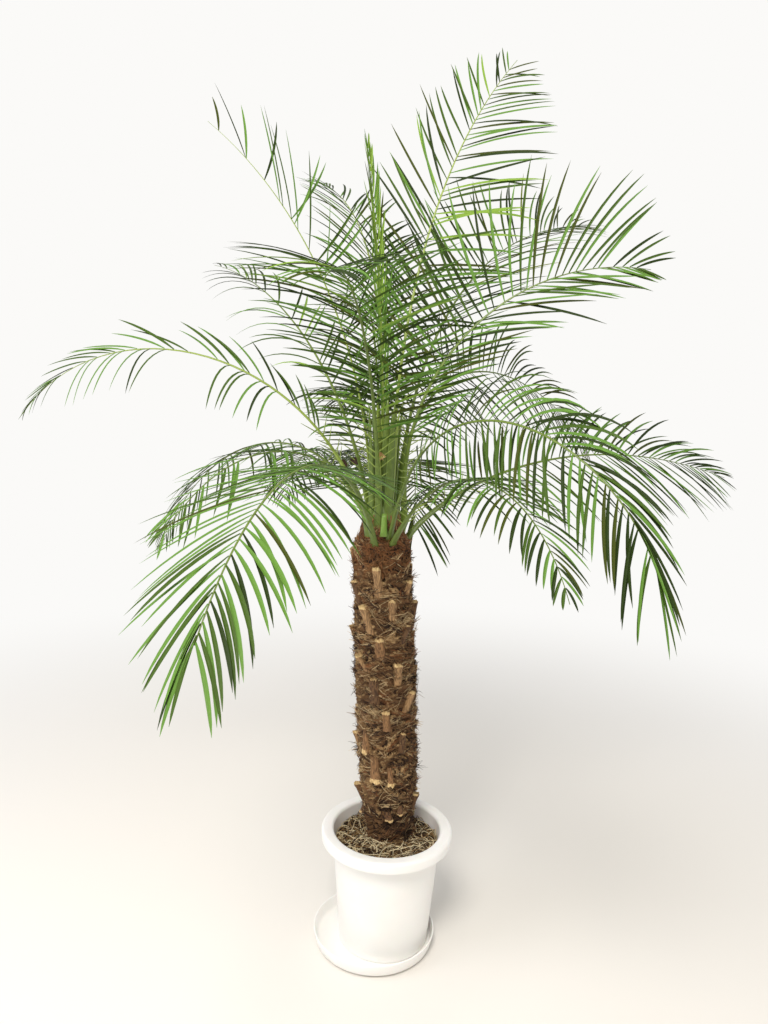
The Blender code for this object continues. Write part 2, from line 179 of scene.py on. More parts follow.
def turned(name, profile, steps, centre, material):
    """Spin a closed profile of (radius, height) pairs about an upright axis at centre."""
    bm = bmesh.new()
    points = [bm.verts.new((radius, 0.0, height)) for radius, height in profile]
    edges = [bm.edges.new(pair) for pair in zip(points, points[1:])]
    bmesh.ops.spin(bm, geom=points + edges, cent=(0, 0, 0), axis=(0, 0, 1),
                   angle=math.tau, steps=steps, use_merge=True)
    bmesh.ops.remove_doubles(bm, verts=bm.verts, dist=0.00001)
    bmesh.ops.recalc_face_normals(bm, faces=bm.faces)
    bmesh.ops.translate(bm, verts=bm.verts, vec=(*centre, 0))
    mesh = bpy.data.meshes.new(name)
    bm.to_mesh(mesh)
    bm.free()
    mesh.shade_smooth()
    mesh.set_sharp_from_angle(angle=math.radians(40))
    mesh.materials.append(material)
    made = bpy.data.objects.new(name, mesh)
    scene.collection.objects.link(made)
    return made


# moulded polypropylene: a clean white with a soft gloss, an orange peel in the skin, drawn a
# little coarser than the real one, and faint dull patches where hands and water have been
plastic, tree, shader = new_material("moulded_polypropylene", "#f3f2ef", Roughness=0.3,
                                     IOR=1.49, Subsurface_Weight=0.05, Subsurface_Scale=0.004)
place = add_node(tree, "ShaderNodeTexCoord")
peel = add_node(tree, "ShaderNodeTexNoise", {"Scale": repeats(1.43), "Detail": 2.0},
                {"Vector": place.outputs["Object"]})
patches = add_node(tree, "ShaderNodeTexNoise", {"Scale": repeats(71.4), "Detail": 5.0},
                   {"Vector": place.outputs["Object"]})
gloss = add_node(tree, "ShaderNodeMapRange", {"To Min": 0.24, "To Max": 0.42},
                 {"Value": patches.outputs["Fac"]})
tint = add_node(tree, "ShaderNodeMix", {6: linear("#fdfcfa"), 7: linear("#f4f2ed")},
                {0: patches.outputs["Fac"]}, data_type="RGBA")
skin = add_node(tree, "ShaderNodeBump", {"Strength": 0.12, "Distance": 0.0002},
                {"Height": peel.outputs["Fac"]})
tree.links.new(tint.outputs[2], shader.inputs["Base Color"])
tree.links.new(gloss.outputs["Result"], shader.inputs["Roughness"])
tree.links.new(skin.outputs["Normal"], shader.inputs["Normal"])

lip = SAUCER_WALL / 2
inside = SAUCER_RADIUS - SAUCER_WALL
profile = [(0, 0), (SAUCER_FOOT_RADIUS, 0), (SAUCER_FOOT_RADIUS, SAUCER_FOOT_HEIGHT)]
profile += arc(SAUCER_RADIUS - 0.010, SAUCER_FOOT_HEIGHT + SAUCER_BEND, SAUCER_BEND, 270, 330, 6)
profile += arc(SAUCER_RADIUS - lip, SAUCER_HEIGHT - lip, lip, 0, 180, 9)
profile += arc(inside - 0.008, SAUCER_FLOOR + SAUCER_BEND, SAUCER_BEND, 330, 270, 6)
profile += [(0, SAUCER_FLOOR)]
dish = turned("saucer_dish", profile, 144, (0, 0), plastic)
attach(dish, "root")
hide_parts("saucer")

# Pot
# A slightly tapered nursery pot of the same white polypropylene, moulded with a wide rolled
# rim that is turned down and open underneath. It stands in the saucer by its own weight.
GAP = 0.0003
POT_X = 0.0185
POT_Y = 0.004
POT_FOOT_RADIUS = 0.086
POT_NECK_RADIUS = 0.1025
RIM_RADIUS = 0.125
RIM_TOP = 0.233
RIM_DEPTH = 0.020
RIM_ROUND = 0.006
LIP_ROUND = 0.0008
POT_WALL = 0.003
POT_FOOT = SAUCER_FLOOR + GAP


def pot_inner_radius(height):
    """Radius of the pot's inside at a height."""
    share = (height - POT_FOOT) / (RIM_TOP - RIM_DEPTH - POT_FOOT)
    return POT_FOOT_RADIUS + (POT_NECK_RADIUS - POT_FOOT_RADIUS) * share - POT_WALL


skirt = RIM_TOP - RIM_DEPTH
mouth = pot_inner_radius(RIM_TOP)
base = POT_FOOT + POT_WALL
profile = [(0, POT_FOOT)]
profile += arc(POT_FOOT_RADIUS - POT_WALL, POT_FOOT + POT_WALL, POT_WALL, 270, 355, 6)
profile += [(POT_NECK_RADIUS, skirt), (mouth + POT_WALL, RIM_TOP - POT_WALL - 0.002)]
profile += [(RIM_RADIUS - POT_WALL, RIM_TOP - RIM_ROUND), (RIM_RADIUS - POT_WALL, skirt)]
profile += arc(RIM_RADIUS - 1.5 * LIP_ROUND, skirt + LIP_ROUND, LIP_ROUND, 225, 360, 5)
profile += arc(RIM_RADIUS - RIM_ROUND, RIM_TOP - RIM_ROUND, RIM_ROUND, 0, 90, 9)
profile += arc(mouth + RIM_ROUND, RIM_TOP - RIM_ROUND, RIM_ROUND, 90, 180, 9)
profile += [(pot_inner_radius(base), base), (0, base)]
shell = turned("pot_shell", profile, 160, (POT_X, POT_Y), plastic)
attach(shell, "root")
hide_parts("pot")

# Soil
# Dark potting soil filled to a finger's width below the rim, crumbly on top. It lies in the
# pot under its own weight and carries the stem.
SOIL_TOP = 0.207
SOIL_EDGE = 0.203
SOIL_SHOULDER = 0.093
SOIL_SWELL = 35                 # swells, crumbs and grit in a metre
SOIL_CRUMBS = 150
SOIL_GRIT = 420
SOIL_RINGS = 70
SOIL_SPOKES = 220
TRUNK_FOOT_X = 0.025
TRUNK_FOOT_Y = 0.026


def soil_height(x, y):
    """Height of the crumbly surface at a point measured from the pot's axis."""
    reach = math.hypot(x, y)
    level = SOIL_TOP if reach < SOIL_SHOULDER else SOIL_EDGE
    swell = 0.0022 * noise.noise(Vector((x * SOIL_SWELL, y * SOIL_SWELL, 1.7)))
    near, _ = noise.voronoi(Vector((x * SOIL_CRUMBS, y * SOIL_CRUMBS, 0.4)))
    fine, _ = noise.voronoi(Vector((x * SOIL_GRIT, y * SOIL_GRIT, 2.4)))
    return level + swell + 0.0032 * (0.5 - near[0]) + 0.0012 * (0.5 - fine[0]) + 0.0004


def grained(name, low, high, size, detail, ramp, rough, bump, soft=0.5, slant=0, ior=1.45):
    """A surface in two shades with a grain whose size along X, Y and Z is in millimetres."""
    made, tree, shader = new_material(name, high, Roughness=rough, IOR=ior)
    place = add_node(tree, "ShaderNodeTexCoord")
    drawn = add_node(tree, "ShaderNodeMapping", {"Rotation": (0.0, math.radians(slant), 0.0),
                                                 "Scale": [repeats(side) for side in size]},
                     {"Vector": place.outputs["Object"]})
    grain = add_node(tree, "ShaderNodeTexNoise", {"Scale": 1.0, "Detail": detail,
                                                  "Roughness": soft},
                     {"Vector": drawn.outputs["Vector"]})
    shades = add_node(tree, "ShaderNodeValToRGB", links={"Fac": grain.outputs["Fac"]})
    for stop, level, colour in zip(shades.color_ramp.elements, ramp, (low, high)):
        stop.position = level
        stop.color = linear(colour)
    relief = add_node(tree, "ShaderNodeBump", {"Strength": bump[0], "Distance": bump[1]},
                      {"Height": grain.outputs["Fac"]})
    tree.links.new(shades.outputs["Color"], shader.inputs["Base Color"])
    tree.links.new(relief.outputs["Normal"], shader.inputs["Normal"])
    return made


# potting soil: nearly black peat with lighter crumbs of about four millimetres, matt all over
peat = grained("potting_soil", "#130d08", "#4f3b29", (3.85, 3.85, 3.85), detail=6.0,
               ramp=(0.35, 0.74), rough=0.92, bump=(0.8, 0.001), ior=1.4)

wall = pot_inner_radius(SOIL_EDGE) - 2 * GAP
spokes = [math.tau * spoke / SOIL_SPOKES for spoke in range(SOIL_SPOKES)]
points = [(POT_X, POT_Y, soil_height(0, 0))]
for ring in range(1, SOIL_RINGS + 1):
    reach = wall * ring / SOIL_RINGS
    for turn in spokes:
        x, y = reach * math.cos(turn), reach * math.sin(turn)
        points.append((POT_X + x, POT_Y + y, soil_height(x, y)))
floor_z = SAUCER_FLOOR + POT_WALL + 2 * GAP
reach = pot_inner_radius(floor_z) - 2 * GAP
for turn in spokes:
    points.append((POT_X + reach * math.cos(turn), POT_Y + reach * math.sin(turn), floor_z))
faces = []
for spoke in range(SOIL_SPOKES):
    after = (spoke + 1) % SOIL_SPOKES
    faces.append((0, 1 + spoke, 1 + after))
    for ring in range(SOIL_RINGS):
        low = 1 + ring * SOIL_SPOKES
        faces.append((low + spoke, low + SOIL_SPOKES + spoke, low + SOIL_SPOKES + after,
                      low + after))
last = 1 + SOIL_RINGS * SOIL_SPOKES
faces.append(tuple(last + spoke for spoke in reversed(range(SOIL_SPOKES))))
bed = mesh_object("soil_bed", points, faces, [peat])
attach(bed, "root")
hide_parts("soil")

# Dry root fibres on the soil
# Old root and trunk fibres, straw coloured and dry, that lie tangled over the soil. They are
# densest in front of the stem.
SOIL_FIBRES = 1400
FIBRE_LENGTHS = (0.014, 0.025, 0.04, 0.06)
FIBRE_ODDS = (3, 5, 7)          # of straw, tan and old fibre
BARE_RING = 0.046               # around the stem, where none lies


def add_skin(faces, first, rings, wide, closed=True):
    """Add the faces between rings of points, closed into a tube or left open as a sheet."""
    for ring in range(rings - 1):
        low = first + ring * wide
        for k in range(wide if closed else wide - 1):
            after = (k + 1) % wide
            faces.append((low + k, low + after, low + wide + after, low + wide + k))


def add_strand(points, faces, path, thick, sides=3):
    """Add a thin tapering strand along a path to lists of points and faces."""
    first = len(points)
    count = len(path)
    for i, spot in enumerate(path):
        along = (path[min(i + 1, count - 1)] - path[max(i - 1, 0)]).normalized()
        side = along.cross(Vector((0.31, 0.17, 0.93)))
        side = side.normalized() if side.length > 0.01 else Vector((1, 0, 0))
        other = along.cross(side)
        radius = thick / 2 * (1.0 - 0.75 * (i / (count - 1)) ** 2)
        for k in range(sides):
            turn = math.tau * k / sides
            points.append(spot + (side * math.cos(turn) + other * math.sin(turn)) * radius)
    add_skin(faces, first, count, sides)


def fibre_material(name, shade, rough):
    """A dry plant fibre, matt, with a faint millimetre grain."""
    made, tree, shader = new_material(name, shade, Roughness=rough, IOR=1.45)
    place = add_node(tree, "ShaderNodeTexCoord")
    grain = add_node(tree, "ShaderNodeTexNoise", {"Scale": repeats(1.11), "Detail": 2.0},
                     {"Vector": place.outputs["Object"]})
    bump = add_node(tree, "ShaderNodeBump", {"Strength": 0.4, "Distance": 0.0003},
                    {"Height": grain.outputs["Fac"]})
    tree.links.new(bump.outputs["Normal"], shader.inputs["Normal"])
    return made


# dry fibre in three ages: pale straw, tan and weathered brown, all matt
straw = fibre_material("straw_fibre", "#efddb4", 0.75)
tan_fibre = fibre_material("tan_fibre", "#98794f", 0.8)
old_fibre = fibre_material("weathered_fibre", "#3d2a1b", 0.85)

dice = random.Random(11)
points, faces, kinds = [], [], []
placed = 0
while placed < SOIL_FIBRES:
    reach = wall * math.sqrt(dice.random()) * 0.98
    turn = dice.uniform(0, math.tau)
    x, y = reach * math.cos(turn), reach * math.sin(turn)
    gap = math.hypot(POT_X + x - TRUNK_FOOT_X, POT_Y + y - TRUNK_FOOT_Y)
    if gap < BARE_RING or dice.random() > 0.30 + 0.70 * (y < 0.01):
        continue
    heading = dice.uniform(0, math.tau)
    length = dice.choice(FIBRE_LENGTHS) * dice.uniform(0.8, 1.3)
    curl = dice.gauss(0, 30)
    spring = dice.uniform(0.0, 0.011) * dice.random()
    rest = dice.uniform(0.0003, 0.0030)
    kind = dice.choices((0, 1, 2), FIBRE_ODDS)[0]
    rest += 0.002 * (kind == 0)     # the straw lies on top
    path = []
    for i in range(8):
        share = i / 7
        path.append(Vector((POT_X + x, POT_Y + y,
                            soil_height(x, y) + rest + spring * math.sin(math.pi * share))))
        heading += curl * length / 7 + dice.gauss(0, 0.18)
        x += math.cos(heading) * length / 7
        y += math.sin(heading) * length / 7
        reach = math.hypot(x, y)
        if reach > wall - 0.001:
            x, y = x * (wall - 0.001) / reach, y * (wall - 0.001) / reach
    add_strand(points, faces, path, dice.uniform(0.0008, 0.0020))
    kinds += [kind] * (len(faces) - len(kinds))
    placed += 1
tangle = mesh_object("soil_fibres", points, faces, [straw, tan_fibre, old_fibre], kinds)
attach(tangle, "root")

# Stem
# A thick stem wrapped in the matted fibre of old leaf sheaths, which end in ragged oblique
# tiers. It grows out of the soil and leans a little to the left.
TRUNK_TOP_X = -0.010
TRUNK_TOP_Y = 0.018
TRUNK_TOP = 0.785
TRUNK_GIRTH = (
    (0.0, 0.050), (0.03, 0.046), (0.10, 0.048), (0.22, 0.054), (0.45, 0.056),
    (0.70, 0.055), (0.88, 0.053), (1.0, 0.050),
)
TIER_RISING = 0.036             # height of the tiers that lean one way, and of the others
TIER_FALLING = 0.043
LIP_STAND = 0.0092
BARK_SPOKES = 240
BARK_RINGS = 380
YOUNG_FROM = 0.735              # above this height the sheaths are the youngest


def level_out(turn):
    """Level direction away from the axis at an angle round it."""
    return Vector((math.cos(turn), math.sin(turn), 0))


def level_side(turn):
    """Level direction along the ring at an angle round the axis."""
    return Vector((-math.sin(turn), math.cos(turn), 0))


def between(table, share):
    """Read a value from (share, value) pairs, with a straight line between them."""
    for (low, first), (high, last) in zip(table, table[1:]):
        if share <= high:
            return first + (last - first) * (share - low) / (high - low)
    return table[-1][1]


def trunk_centre(height):
    """Point on the leaning stem's axis at a height."""
    share = min(max((height - SOIL_TOP) / (TRUNK_TOP - SOIL_TOP), 0.0), 1.0)
    return Vector((TRUNK_FOOT_X + (TRUNK_TOP_X - TRUNK_FOOT_X) * share,
                   TRUNK_FOOT_Y + (TRUNK_TOP_Y - TRUNK_FOOT_Y) * share, height))


def trunk_radius(height):
    """Radius of the stem at a height, without its bark relief."""
    share = (height - SOIL_TOP) / (TRUNK_TOP - SOIL_TOP)
    return between(TRUNK_GIRTH, min(max(share, 0.0), 1.0))


def bark_tier(turn, height):
    """Where a point lies in its tier, from 0 at the foot to 1 at the lip, and the tier's lean."""
    around = level_out(turn)
    wander = noise.noise(around * 1.6 + Vector((0, 0, height * 24)))
    ragged = noise.noise(around * 9 + Vector((0, 0, height * 150)))
    rising = (height / TIER_RISING + 3 * turn / math.tau + 0.8 * wander + 0.3 * ragged) % 1.0
    falling = (height / TIER_FALLING - 5 * turn / math.tau + 0.9 * wander - 0.3 * ragged) % 1.0
    return (rising, -1) if rising > falling else (falling, 1)


def bark_relief(turn, height):
    """How far the matted surface stands out of the stem, in metres."""
    tier, lean = bark_tier(turn, height)
    skew = turn * 0.030 * lean
    ridge = noise.noise(Vector((turn * 7, (height - skew) * 300, 3.0 * lean)))
    hair = noise.noise(Vector((turn * 45, height * 480, 7.0)))
    return LIP_STAND * tier ** 2.4 + 0.0020 * ridge + 0.0010 * hair - 0.0074


# sheath fibre: threads 1.5 mm apart that run slantwise round the stem. It is nearly black in
# the hollows under the lips, which is painted shade, brown on the mats, a lighter grey tan on
# the lips, which is a painted highlight, and a foxy red brown where it is youngest, at the top.
SHEATH_GRAIN = dict(size=(11.1, 11.1, 1.54), slant=24, detail=5.0, soft=0.65,
                    ramp=(0.34, 0.66), rough=0.9, bump=(0.9, 0.0012))
bark_kinds = [grained(*row, **SHEATH_GRAIN) for row in (
    ("sheath_hollow_painted_shade", "#1b1008", "#432c17"), ("sheath_mat", "#462f1a", "#84613d"),
    ("sheath_lip_painted_highlight", "#6b4e2e", "#bb9a6c"), ("sheath_young", "#4b2e19", "#8e6238"))]

points, faces, kinds = [], [], []
foot = SOIL_TOP - 0.004
for ring in range(BARK_RINGS + 1):
    height = foot + (TRUNK_TOP + 0.006 - foot) * ring / BARK_RINGS
    centre = trunk_centre(height)
    for spoke in range(BARK_SPOKES):
        turn = math.tau * spoke / BARK_SPOKES
        radius = trunk_radius(height) + bark_relief(turn, height)
        points.append(centre + radius * level_out(turn))
add_skin(faces, 0, BARK_RINGS + 1, BARK_SPOKES)
# each face gets its kind by where it lies in its tier: painted shade where the surface is sunk low in
# the tier, and a painted highlight at the raised lip
for number, spot in enumerate(points[:BARK_RINGS * BARK_SPOKES]):
    tier, _ = bark_tier(math.tau * (number % BARK_SPOKES) / BARK_SPOKES, spot.z)
    young = spot.z > YOUNG_FROM + 0.02 * noise.noise(spot * 60)
    # darker towards the foot: in the lowest few centimetres the darkest kind reaches further up each
    # tier
    near_foot = spot.z < 0.275 + 0.03 * noise.noise(spot * 40)
    level = tier - 0.45 * near_foot
    kinds.append(0 if level < 0.38 else 3 if young else 1 if level < 0.80 else 2)
faces.append(tuple(reversed(range(BARK_SPOKES))))
faces.append(tuple(BARK_RINGS * BARK_SPOKES + spoke for spoke in range(BARK_SPOKES)))
kinds += [1, 1]
stem = mesh_object("stem_bark", points, faces, bark_kinds, kinds)
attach(stem, "root")
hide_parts("trunk")

# Stubs of old leaf bases
# What is left of each cut leaf: a woody tongue, wide where it leaves the stem and ragged where
# it was cut. Near the foot the oldest ones have torn loose below and show their pale ends.
STUB_RINGS = 14
STUB_ACROSS = 9

# old leaf base: woody, with vessels 1.6 mm apart that run up it, in tan, warm tan and
# weathered brown, and the pale straw of the torn end
WOOD_GRAIN = dict(size=(1.61, 1.61, 23.8), detail=4.0, ramp=(0.36, 0.60), rough=0.8,
                  bump=(0.8, 0.0010))
stub_kinds = [grained(*row, **WOOD_GRAIN) for row in (
    ("leaf_base_tan", "#5c4229", "#a8845a"), ("leaf_base_warm", "#4b321d", "#936d46"),
    ("leaf_base_brown", "#382413", "#6f5032"), ("leaf_base_cut", "#a37f4f", "#d9bd88"))]

# foot angle and height, length, width at the foot and at the cut, lean, stand and material;
# a stub that is torn at its foot stands out there instead
Stub = namedtuple("Stub", "turn low length foot cut lean stand kind torn")
STUBS = [Stub(*row) for row in (
    (-97, 0.691, 0.056, 0.022, 0.014, -4, 0.009, 0, False),
    (-117, 0.622, 0.051, 0.017, 0.018, -13, 0.010, 0, False),
    (-71, 0.651, 0.037, 0.016, 0.015, -3, 0.008, 0, False),
    (-52, 0.606, 0.032, 0.016, 0.012, 10, 0.010, 2, False),
    (-98, 0.576, 0.040, 0.024, 0.017, 0, 0.009, 1, False),
    (-128, 0.550, 0.028, 0.015, 0.009, -14, 0.012, 0, False),
    (-64, 0.528, 0.041, 0.017, 0.016, -2, 0.010, 0, False),
    (-113, 0.490, 0.049, 0.024, 0.017, 1, 0.006, 2, False),
    (-46, 0.473, 0.036, 0.017, 0.014, 12, 0.009, 0, False),
    (-150, 0.675, 0.038, 0.019, 0.015, -8, 0.008, 2, False),
    (-36, 0.688, 0.030, 0.017, 0.014, 7, 0.008, 0, False),
    (-88, 0.440, 0.039, 0.019, 0.015, -3, 0.007, 1, False),
    (-134, 0.391, 0.047, 0.017, 0.014, -4, 0.009, 1, True),
    (-114, 0.338, 0.049, 0.026, 0.016, -5, 0.009, 1, True),
    (-84, 0.335, 0.034, 0.015, 0.010, -2, 0.008, 1, True),
    (-60, 0.394, 0.040, 0.014, 0.012, 1, 0.008, 2, False),
    (-67, 0.272, 0.017, 0.013, 0.011, 4, 0.009, 2, True),
    (-90, 0.261, 0.016, 0.017, 0.013, -3, 0.009, 2, True),
    (-171, 0.268, 0.040, 0.020, 0.012, -6, 0.014, 2, False),
    (-20, 0.262, 0.034, 0.018, 0.012, 6, 0.009, 2, False),
)]
GOLDEN_ANGLE = 137.5
STUB_RISE = 0.0099
STUB_START = 0.012
STUB_COUNT = 52
dice = random.Random(23)
for i in range(STUB_COUNT):
    turn = (129 + i * GOLDEN_ANGLE + dice.gauss(0, 4)) % 360
    if not 2 < turn < 186:
        continue
    worn = i < 0.16 * STUB_COUNT
    foot = dice.uniform(0.017, 0.024) * (0.8 if worn else 1.0)
    STUBS.append(Stub(turn, SOIL_TOP + STUB_START + i * STUB_RISE,
                      dice.uniform(0.034, 0.054) * (0.5 if worn else 1.0), foot,
                      foot * dice.uniform(0.6, 0.9), dice.gauss(0, 6),
                      dice.uniform(0.006, 0.011), dice.choice((0, 0, 1, 1, 2)), worn))

points, faces, kinds = [], [], []
for number, stub in enumerate(STUBS):
    first = len(points)
    for ring in range(STUB_RINGS):
        share = ring / (STUB_RINGS - 1)
        height = stub.low + stub.length * share
        centre = trunk_centre(height)
        out = (1 - share) ** 1.5 if stub.torn else share ** 1.2
        crest = trunk_radius(height) + 0.0012 + stub.stand * out
        width = stub.foot + (stub.cut - stub.foot) * share ** 0.6
        width *= 1.0 + 0.16 * math.sin(9 * share + number) * share
        middle = math.radians(stub.turn + stub.lean * share)
        for k in range(STUB_ACROSS + 2):
            across = -1 + 2 * (min(max(k, 1), STUB_ACROSS) - 1) / (STUB_ACROSS - 1)
            ridge = noise.noise(Vector((across * 4 + number, share * 2.5, number * 1.3)))
            reach = crest - 0.0032 * across * across + 0.0011 * ridge
            torn_edge = noise.noise(Vector((across * 3.2, number * 2.1, 0.7 * ring)))
            end = (1 - share) ** 6 if stub.torn else share ** 6
            if k in (0, STUB_ACROSS + 1):
                reach = trunk_radius(height) - 0.006
            angle = middle + across * width / 2 / crest
            spot = centre + reach * level_out(angle)
            points.append(spot + Vector((0, 0, 0.005 * torn_edge * end)))
    wide = STUB_ACROSS + 2
    add_skin(faces, first, STUB_RINGS, wide, closed=False)
    for ring in range(STUB_RINGS - 1):
        for k in range(wide - 1):
            pale = ring < 2 if stub.torn else ring == STUB_RINGS - 2
            kinds.append(3 if pale and 0 < k < wide - 2 and stub.kind < 2 + stub.torn
                         else stub.kind)
    end = first if stub.torn else first + (STUB_RINGS - 1) * wide
    roots = len(points)
    for k in range(wide):
        inward = trunk_centre(points[end + k].z) - points[end + k]
        depth = inward.length - trunk_radius(points[end + k].z) + 0.006
        points.append(points[end + k] + inward.normalized() * max(depth, 0.0005))
    for k in range(wide - 1):
        faces.append((end + k, end + k + 1, roots + k + 1, roots + k))
        kinds.append(3)
stubs = mesh_object("leaf_base_stubs", points, faces, stub_kinds, kinds)
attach(stubs, "root")

# Fibre of the stem
# Loose strands of the sheaths, in slanting bundles that hug the stem and fray at their ends.
# Tufts of stiffer bristles stand out at the ragged upper edges of the tiers.
MAT_BUNDLES = 560
TUFTS = 520
USUAL_RADIUS = 0.053            # of the mats, to turn a length round the stem into an angle

# sheath strands: matt, nearly black, foxy, brown and a pale grey tan
strand_kinds = [fibre_material(*row) for row in (
    ("strand_dark", "#38261a", 0.85), ("strand_foxy", "#8b5a34", 0.8),
    ("strand_brown", "#7d5c3b", 0.8), ("strand_pale", "#cbb084", 0.8))]


def stem_spot(turn, height, out):
    """Point on the matted surface, or out from it by a distance."""
    reach = trunk_radius(height) + bark_relief(turn, height) + out
    return trunk_centre(height) + reach * level_out(turn)


dice = random.Random(37)
points, faces, kinds = [], [], []
for _ in range(MAT_BUNDLES):
    turn = dice.uniform(0, math.tau)
    height = dice.uniform(SOIL_TOP + 0.004, TRUNK_TOP - 0.004)
    young = height > YOUNG_FROM
    _, lean = bark_tier(turn, height)
    slope = lean * math.radians(dice.gauss(24, 14))
    hand = dice.choice((-1, 1))
    fray = dice.uniform(0.002, 0.008) if dice.random() < 0.35 else dice.uniform(0, 0.002)
    odds = (2, 7, 3, 1) if young else (7, 1, 3, 1) if height < 0.28 else (4, 1, 5, 2)
    common = dice.choices((0, 1, 2, 3), odds)[0]
    for _ in range(dice.randint(7, 14)):
        spread = dice.gauss(0, 0.0035)
        along = dice.gauss(0, 0.007)
        aim = slope + dice.gauss(0, 0.7 if young else 0.12)
        shift = hand * math.cos(slope) * along - math.sin(slope) * spread
        at_turn = turn + shift / USUAL_RADIUS
        at_height = height + hand * math.sin(slope) * along + math.cos(slope) * spread
        length = dice.uniform(0.022, 0.056)
        lift = dice.uniform(0.0004, 0.0032)
        path = []
        for i in range(6):
            share = i / 5
            at_height = min(max(at_height, SOIL_TOP + 0.001), TRUNK_TOP + 0.004)
            path.append(stem_spot(at_turn, at_height, 0.0003 + fray * share ** 3
                                  + lift * math.sin(math.pi * share * 0.75)))
            aim += dice.gauss(0, 0.5 if young else 0.10)
            at_turn += hand * math.cos(aim) * length / 5 / USUAL_RADIUS
            at_height += hand * math.sin(aim) * length / 5
        kind = common if dice.random() < 0.7 else dice.choices((0, 1, 2, 3), odds)[0]
        add_strand(points, faces, path, dice.uniform(0.0007, 0.0017))
        kinds += [kind] * (len(faces) - len(kinds))
mats = mesh_object("stem_mats", points, faces, strand_kinds, kinds)
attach(mats, "root")

points, faces, kinds = [], [], []
tufts = 0
while tufts < TUFTS:
    turn = dice.uniform(0, math.tau)
    height = dice.uniform(SOIL_TOP + 0.006, TRUNK_TOP + 0.002)
    tier, _ = bark_tier(turn, height)
    if tier < 0.80:
        continue
    tufts += 1
    size = dice.uniform(0.5, 1.0) * (0.7 if height < 0.30 else 1.0)
    lie = dice.gauss(0, 0.9)
    rise = dice.gauss(0.6, 0.45)
    stand = dice.uniform(0.10, 0.75)
    common = dice.choices((0, 1, 2, 3), (6, 1, 4, 2))[0]
    for _ in range(dice.randint(4, 11)):
        at_turn = turn + dice.gauss(0, 0.05)
        out = level_out(at_turn)
        side = level_side(at_turn)
        spot = stem_spot(at_turn, height + dice.gauss(0, 0.002), 0.0)
        way = (out * (stand + dice.gauss(0, 0.15)) + side * (lie + dice.gauss(0, 0.22))
               + Vector((0, 0, rise + dice.gauss(0, 0.22)))).normalized()
        bend = side * dice.gauss(0, 0.4) + Vector((0, 0, dice.gauss(-0.1, 0.4)))
        length = size * dice.uniform(0.010, 0.026)
        path = [spot - out * 0.001]
        for i in range(5):
            path.append(path[-1] + way * length / 5)
            way = (way + bend * 0.2).normalized()
        kind = common if dice.random() < 0.7 else dice.choices((0, 1, 2, 3), (4, 1, 4, 2))[0]
        add_strand(points, faces, path, dice.uniform(0.0007, 0.0018))
        kinds += [kind] * (len(faces) - len(kinds))
bristles = mesh_object("stem_bristles", points, faces, strand_kinds, kinds)
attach(bristles, "root")

# Frond ribs
# A frond's petiole widens into a green sheath that wraps the heart of the crown. Further out
# it becomes the rib, rounded below and shallowly channelled above. It grows from the stem.
# name, seat on the heart, heading, how far it swings sideways, rise, droop and how late it
# bends, length, longest leaflet, how far the leaflets are raised, and roll; angles in degrees
Frond = namedtuple("Frond", "name seat heading sweep rise droop bend length leaf fold roll")
FRONDS = [Frond(*row) for row in (
    ("frond_spear", 90, 150, 0, 88, 9, 1.6, 0.635, 0.100, 10, 0),
    ("frond_upper_right", 66, 56, -18, 90, 43, 1.1, 0.93, 0.205, 8, 35),
    ("frond_upper_left", 66, 165, -5, 85, 48, 1.2, 0.78, 0.195, 46, 0),
    ("frond_upper_back", 66, 108, 18, 92, 75, 1.6, 0.75, 0.160, 15, 0),
    ("frond_right_arch", 46, 358, 4, 95, 102, 1.1, 0.69, 0.225, 15, 66),
    ("frond_right_behind", 46, 46, -18, 86, 85, 1.3, 0.83, 0.210, 12, 20),
    ("frond_back_arch", 46, 98, 0, 76, 92, 1.3, 0.78, 0.200, 8, 0),
    ("frond_left_upper", 46, 138, -5, 75, 64, 1.0, 0.74, 0.180, 10, -15),
    ("frond_left_arch", 46, 184, -22, 69, 119, 1.1, 0.81, 0.165, 5, -30),
    ("frond_front_arch", 46, 258, 8, 78, 106, 1.4, 0.68, 0.190, 10, 0),
    ("frond_right_back", 28, 66, -50, 88, 142, 0.8, 0.90, 0.195, 0, 55),
    ("frond_back_middle", 28, 102, 0, 66, 98, 1.0, 0.70, 0.180, 0, 0),
    ("frond_left_back", 28, 136, 18, 66, 134, 0.7, 0.78, 0.180, 0, -10),
    ("frond_front_left", 28, 231, 12, 70, 120, 0.8, 0.55, 0.130, 0, 0),
    ("frond_right_front", 28, 292, 43, 66, 150, 1.1, 0.77, 0.158, -20, 42),
    ("frond_right_low", 8, 20, -4, 53, 71, 0.6, 0.75, 0.200, 0, 45),
    ("frond_back_right_low", 8, 78, 9, 57, 146, 1.1, 0.59, 0.155, -6, 0),
    ("frond_back_low", 8, 97, 0, 50, 88, 0.9, 0.64, 0.170, -6, 0),
    ("frond_back_left_low", 8, 116, -5, 56, 110, 0.9, 0.66, 0.170, -6, 0),
    ("frond_front_low", 8, 254, 5, 55, 112, 0.9, 0.82, 0.162, -8, 0),
    ("frond_front_right", 8, 295, -4, 47, 104, 1.3, 0.59, 0.118, -6, 0),
)]
HEART_HEIGHT = 0.080
HEART_RADIUS = 0.050
BARE_SHARE = 0.20
RIB_STEPS = 120
CAD_RIB_WIDTH = 0.012           # of the coarse solid's rib, whose seat is found again here
CAD_RIB_THICK = 0.008
RIB_WIDTHS = ((0.0, 0.0125), (0.10, 0.0092), (0.2, 0.0062), (0.6, 0.0034), (1.0, 0.0010))
RIB_FLATNESS = 0.72             # thickness of a rib to its width
RIB_SIDES = 10
RIB_RINGS = 36
SHEATH_RINGS = 8
SHEATH_WIDTH = 0.024
SHEATH_THICK = 0.0085
# fronds that end in long leaflets, and where along the rib they end
BLUNT = {"frond_front_low": 0.905, "frond_back_right_low": 0.94, "frond_right_front": 0.89}


